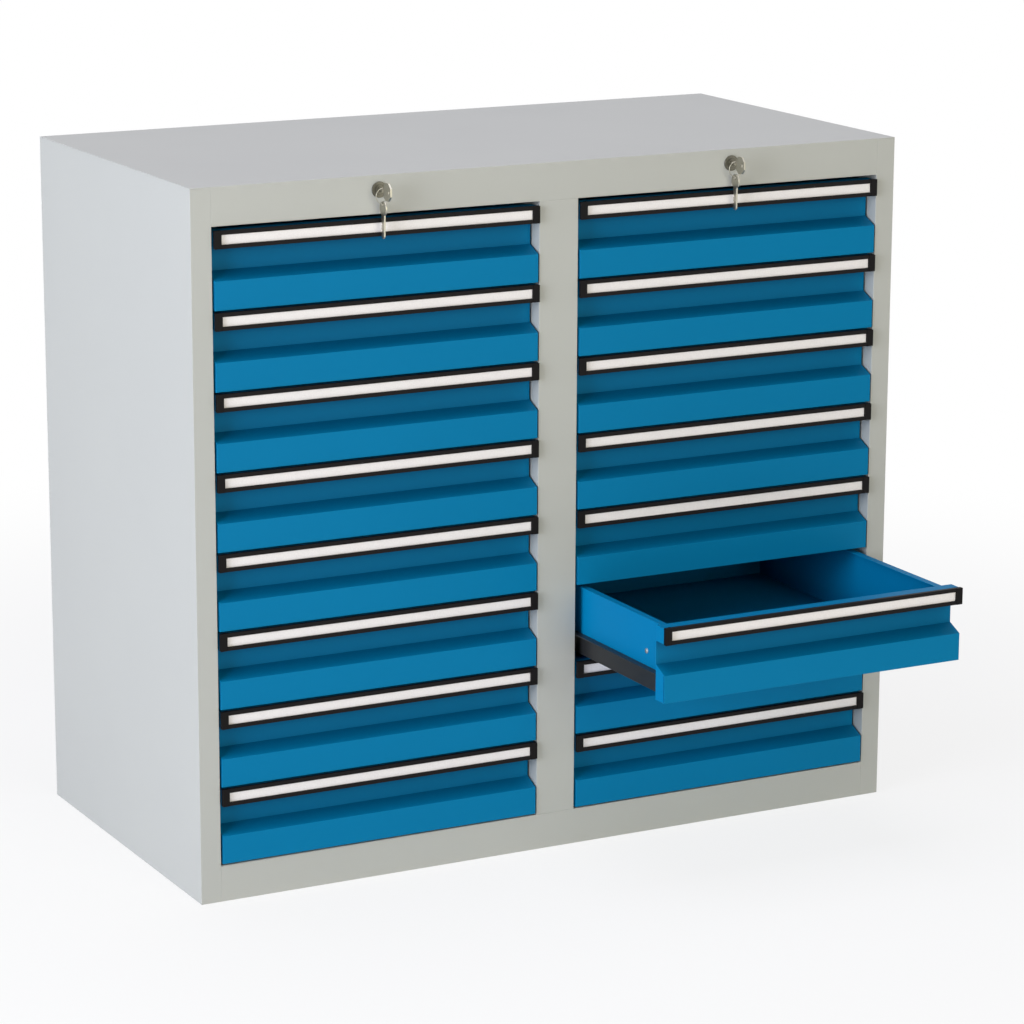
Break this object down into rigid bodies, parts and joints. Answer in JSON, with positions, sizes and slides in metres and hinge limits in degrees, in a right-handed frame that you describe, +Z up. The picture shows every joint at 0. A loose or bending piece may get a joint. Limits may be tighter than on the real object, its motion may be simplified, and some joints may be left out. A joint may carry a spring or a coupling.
{
  "type": "reagent drawer cabinet",
  "caption": "Free-standing steel cabinet with columns of shallow drawers on roller runners, recessed finger pulls, label grip strips, and a key lock with a locking bar per column",
  "frame": {"origin": "middle of the carcass footprint, on the floor", "axes": "X to the right seen from the front, Y to the back with the drawer fronts facing -Y, Z up"},
  "size_m": [1, 0.7306, 0.9],
  "materials": {
    "carcass_paint": "light grey powder coat, fine texture",
    "drawer_paint": "blue powder coat, semi-gloss",
    "grip_plastic": "black moulded plastic with a white label strip",
    "runner_coating": "black epoxy coat with nylon rollers",
    "lock_metal": "dulled nickel plate",
    "galvanised_steel": "galvanised",
    "key_metal": "nickel plate"
  },
  "bodies": {
    "carcass": {"body_wrap": "carcass_paint", "top_panel": "carcass_paint", "base_panel": "carcass_paint", "centre_wall": "carcass_paint", "rear_posts": "carcass_paint", "cabinet_rails": "runner_coating"},
    "drawer_left_1": {"drawer_box_left_1": "drawer_paint", "grip_left_1": "grip_plastic", "runners_left_1": "runner_coating"},
    "drawer_left_2": {"drawer_box_left_2": "drawer_paint", "grip_left_2": "grip_plastic", "runners_left_2": "runner_coating"},
    "drawer_left_3": {"drawer_box_left_3": "drawer_paint", "grip_left_3": "grip_plastic", "runners_left_3": "runner_coating"},
    "drawer_left_4": {"drawer_box_left_4": "drawer_paint", "grip_left_4": "grip_plastic", "runners_left_4": "runner_coating"},
    "drawer_left_5": {"drawer_box_left_5": "drawer_paint", "grip_left_5": "grip_plastic", "runners_left_5": "runner_coating"},
    "drawer_left_6": {"drawer_box_left_6": "drawer_paint", "grip_left_6": "grip_plastic", "runners_left_6": "runner_coating"},
    "drawer_left_7": {"drawer_box_left_7": "drawer_paint", "grip_left_7": "grip_plastic", "runners_left_7": "runner_coating"},
    "drawer_left_8": {"drawer_box_left_8": "drawer_paint", "grip_left_8": "grip_plastic", "runners_left_8": "runner_coating"},
    "lock_left": {"lock_left": "lock_metal"},
    "lock_bar_left": {"lock_bar_left": "galvanised_steel"},
    "spare_key_left": {"spare_key_left": "key_metal"},
    "drawer_right_1": {"drawer_box_right_1": "drawer_paint", "grip_right_1": "grip_plastic", "runners_right_1": "runner_coating"},
    "drawer_right_2": {"drawer_box_right_2": "drawer_paint", "grip_right_2": "grip_plastic", "runners_right_2": "runner_coating"},
    "drawer_right_3": {"drawer_box_right_3": "drawer_paint", "grip_right_3": "grip_plastic", "runners_right_3": "runner_coating"},
    "drawer_right_4": {"drawer_box_right_4": "drawer_paint", "grip_right_4": "grip_plastic", "runners_right_4": "runner_coating"},
    "drawer_right_5": {"drawer_box_right_5": "drawer_paint", "grip_right_5": "grip_plastic", "runners_right_5": "runner_coating"},
    "drawer_right_6": {"drawer_box_right_6": "drawer_paint", "grip_right_6": "grip_plastic", "runners_right_6": "runner_coating"},
    "drawer_right_7": {"drawer_box_right_7": "drawer_paint", "grip_right_7": "grip_plastic", "runners_right_7": "runner_coating"},
    "drawer_right_8": {"drawer_box_right_8": "drawer_paint", "grip_right_8": "grip_plastic", "runners_right_8": "runner_coating"},
    "lock_right": {"lock_right": "lock_metal"},
    "lock_bar_right": {"lock_bar_right": "galvanised_steel"},
    "spare_key_right": {"spare_key_right": "key_metal"}
  },
  "joints": [
    {"name": "drawer_left_1_slide", "type": "slide", "parent": "carcass", "child": "drawer_left_1", "axis": [0, -1, 0], "range_m": [0, 0.38]},
    {"name": "drawer_left_2_slide", "type": "slide", "parent": "carcass", "child": "drawer_left_2", "axis": [0, -1, 0], "range_m": [0, 0.38]},
    {"name": "drawer_left_3_slide", "type": "slide", "parent": "carcass", "child": "drawer_left_3", "axis": [0, -1, 0], "range_m": [0, 0.38]},
    {"name": "drawer_left_4_slide", "type": "slide", "parent": "carcass", "child": "drawer_left_4", "axis": [0, -1, 0], "range_m": [0, 0.38]},
    {"name": "drawer_left_5_slide", "type": "slide", "parent": "carcass", "child": "drawer_left_5", "axis": [0, -1, 0], "range_m": [0, 0.38]},
    {"name": "drawer_left_6_slide", "type": "slide", "parent": "carcass", "child": "drawer_left_6", "axis": [0, -1, 0], "range_m": [0, 0.38]},
    {"name": "drawer_left_7_slide", "type": "slide", "parent": "carcass", "child": "drawer_left_7", "axis": [0, -1, 0], "range_m": [0, 0.38]},
    {"name": "drawer_left_8_slide", "type": "slide", "parent": "carcass", "child": "drawer_left_8", "axis": [0, -1, 0], "range_m": [0, 0.38]},
    {"name": "lock_left_turn", "type": "hinge", "parent": "carcass", "child": "lock_left", "pos_m": [-0.25025, -0.25, 0.882], "axis": [0, -1, 0], "range_deg": [0, 90]},
    {"name": "lock_bar_left_lift", "type": "slide", "parent": "carcass", "child": "lock_bar_left", "axis": [0, 0, 1], "range_m": [0, 0.01202]},
    {"name": "spare_key_left_swing", "type": "hinge", "parent": "carcass", "child": "spare_key_left", "pos_m": [-0.25025, -0.2624, 0.882], "axis": [0, -1, 0], "range_deg": [-80, 80]},
    {"name": "drawer_right_1_slide", "type": "slide", "parent": "carcass", "child": "drawer_right_1", "axis": [0, -1, 0], "range_m": [0, 0.38]},
    {"name": "drawer_right_2_slide", "type": "slide", "parent": "carcass", "child": "drawer_right_2", "axis": [0, -1, 0], "range_m": [0, 0.38]},
    {"name": "drawer_right_3_slide", "type": "slide", "parent": "carcass", "child": "drawer_right_3", "axis": [0, -1, 0], "range_m": [0, 0.38]},
    {"name": "drawer_right_4_slide", "type": "slide", "parent": "carcass", "child": "drawer_right_4", "axis": [0, -1, 0], "range_m": [0, 0.38]},
    {"name": "drawer_right_5_slide", "type": "slide", "parent": "carcass", "child": "drawer_right_5", "axis": [0, -1, 0], "range_m": [0, 0.38]},
    {"name": "drawer_right_6_slide", "type": "slide", "parent": "carcass", "child": "drawer_right_6", "axis": [0, -1, 0], "range_m": [-0.225, 0.155]},
    {"name": "drawer_right_7_slide", "type": "slide", "parent": "carcass", "child": "drawer_right_7", "axis": [0, -1, 0], "range_m": [0, 0.38]},
    {"name": "drawer_right_8_slide", "type": "slide", "parent": "carcass", "child": "drawer_right_8", "axis": [0, -1, 0], "range_m": [0, 0.38]},
    {"name": "lock_right_turn", "type": "hinge", "parent": "carcass", "child": "lock_right", "pos_m": [0.25025, -0.25, 0.882], "axis": [0, -1, 0], "range_deg": [0, 90]},
    {"name": "lock_bar_right_lift", "type": "slide", "parent": "carcass", "child": "lock_bar_right", "axis": [0, 0, 1], "range_m": [0, 0.01202]},
    {"name": "spare_key_right_swing", "type": "hinge", "parent": "carcass", "child": "spare_key_right", "pos_m": [0.25025, -0.2624, 0.882], "axis": [0, -1, 0], "range_deg": [-80, 80]}
  ],
  "couplings": [
    {"joint": "lock_left_turn", "follows": "lock_bar_left_lift", "rad_per_m": 130.67},
    {"joint": "lock_right_turn", "follows": "lock_bar_right_lift", "rad_per_m": 130.67}
  ]
}
